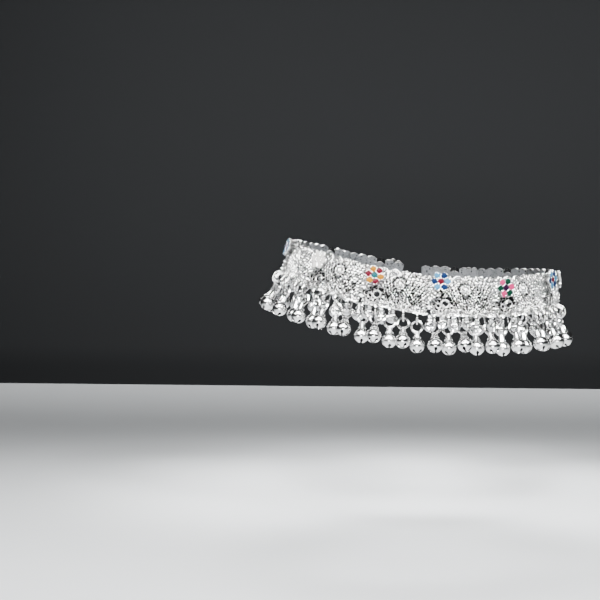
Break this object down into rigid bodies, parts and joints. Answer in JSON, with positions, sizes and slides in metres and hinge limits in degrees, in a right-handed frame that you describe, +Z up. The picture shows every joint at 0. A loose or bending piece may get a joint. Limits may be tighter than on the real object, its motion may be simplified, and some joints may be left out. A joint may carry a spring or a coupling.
{
  "type": "anklet",
  "caption": "Plated ankle chain of pierced, textured sections with scalloped edge, enamel flowers and a fringe of jingle bells, worn form.",
  "frame": {"origin": "middle of the ankle that the anklet is worn on, at the middle height of its tilted loop", "axes": "+X to the heel, along the loop's length; -Y to the side that the picture shows; +Z up the leg"},
  "size_m": [0.1064, 0.0925, 0.0365],
  "materials": {
    "silver": "bright cast and polished",
    "enamel_orange": "glossy opaque vitreous enamel",
    "enamel_red": "glossy opaque vitreous enamel",
    "enamel_teal": "glossy opaque vitreous enamel",
    "enamel_light_blue": "glossy opaque vitreous enamel",
    "enamel_navy": "glossy opaque vitreous enamel",
    "enamel_pink": "glossy opaque vitreous enamel",
    "enamel_green": "glossy opaque vitreous enamel",
    "enamel_plum": "glossy opaque vitreous enamel",
    "enamel_pearl": "glossy opaque vitreous enamel"
  },
  "bodies": {
    "root": {"section_01": "silver", "section_02": "silver", "section_03": "silver", "section_04": "silver", "section_05": "silver", "section_06": "silver", "section_07": "silver", "section_08": "silver", "section_09": "silver", "section_10": "silver", "section_11": "silver", "section_12": "silver", "clasp": "silver", "section_rings": "silver", "bell_links": "silver", "bells": "silver", "enamel_orange": "enamel_orange", "enamel_red": "enamel_red", "enamel_teal": "enamel_teal", "enamel_light_blue": "enamel_light_blue", "enamel_navy": "enamel_navy", "enamel_pink": "enamel_pink", "enamel_green": "enamel_green", "enamel_plum": "enamel_plum", "enamel_pearl": "enamel_pearl"}
  },
  "joints": []
}
